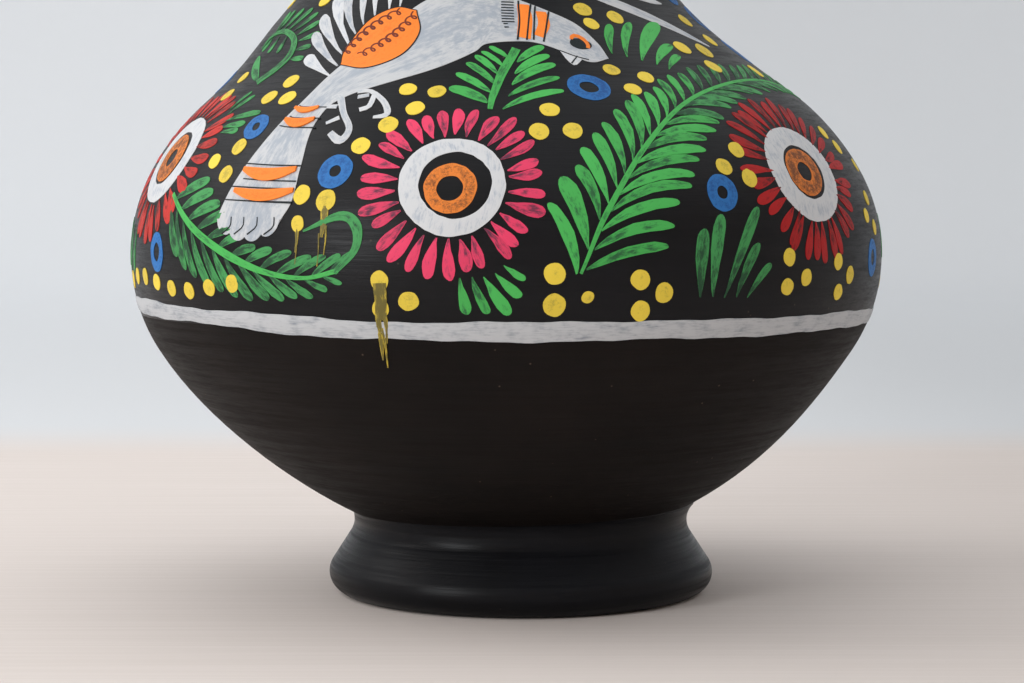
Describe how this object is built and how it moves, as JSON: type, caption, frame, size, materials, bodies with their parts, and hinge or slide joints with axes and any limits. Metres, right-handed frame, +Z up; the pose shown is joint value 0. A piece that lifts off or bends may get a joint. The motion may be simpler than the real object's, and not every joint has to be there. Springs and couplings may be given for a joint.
{
  "type": "painted clay vase",
  "caption": "Round-bellied black clay vase on a flared ring foot, hand-painted with a bird, flowers and fern fronds above a white line.",
  "frame": {"origin": "on the table under the vase's axis, at the level of the foot's resting face", "axes": "+Z up along the vase's axis, +X to the right of the side painted with the bird, -Y towards a viewer of that side"},
  "size_m": [0.22, 0.22, 0.2473],
  "materials": {
    "black_foot": "burnished black slip, satin",
    "black_bowl": "matte black paint with a brown cast",
    "black_ground": "black ground coat under the painting, low satin",
    "raw_clay": "unpainted fired clay, matte",
    "white_slip": "matte white paint, brushed thin"
  },
  "bodies": {
    "root": {"foot_ring": "black_foot", "lower_bowl": "black_bowl", "upper_bowl": "black_ground", "seam_coil": "raw_clay", "neck_collar": "black_ground", "lip_coil": "black_ground", "belly_band": "white_slip", "neck_band": "white_slip"}
  },
  "joints": []
}
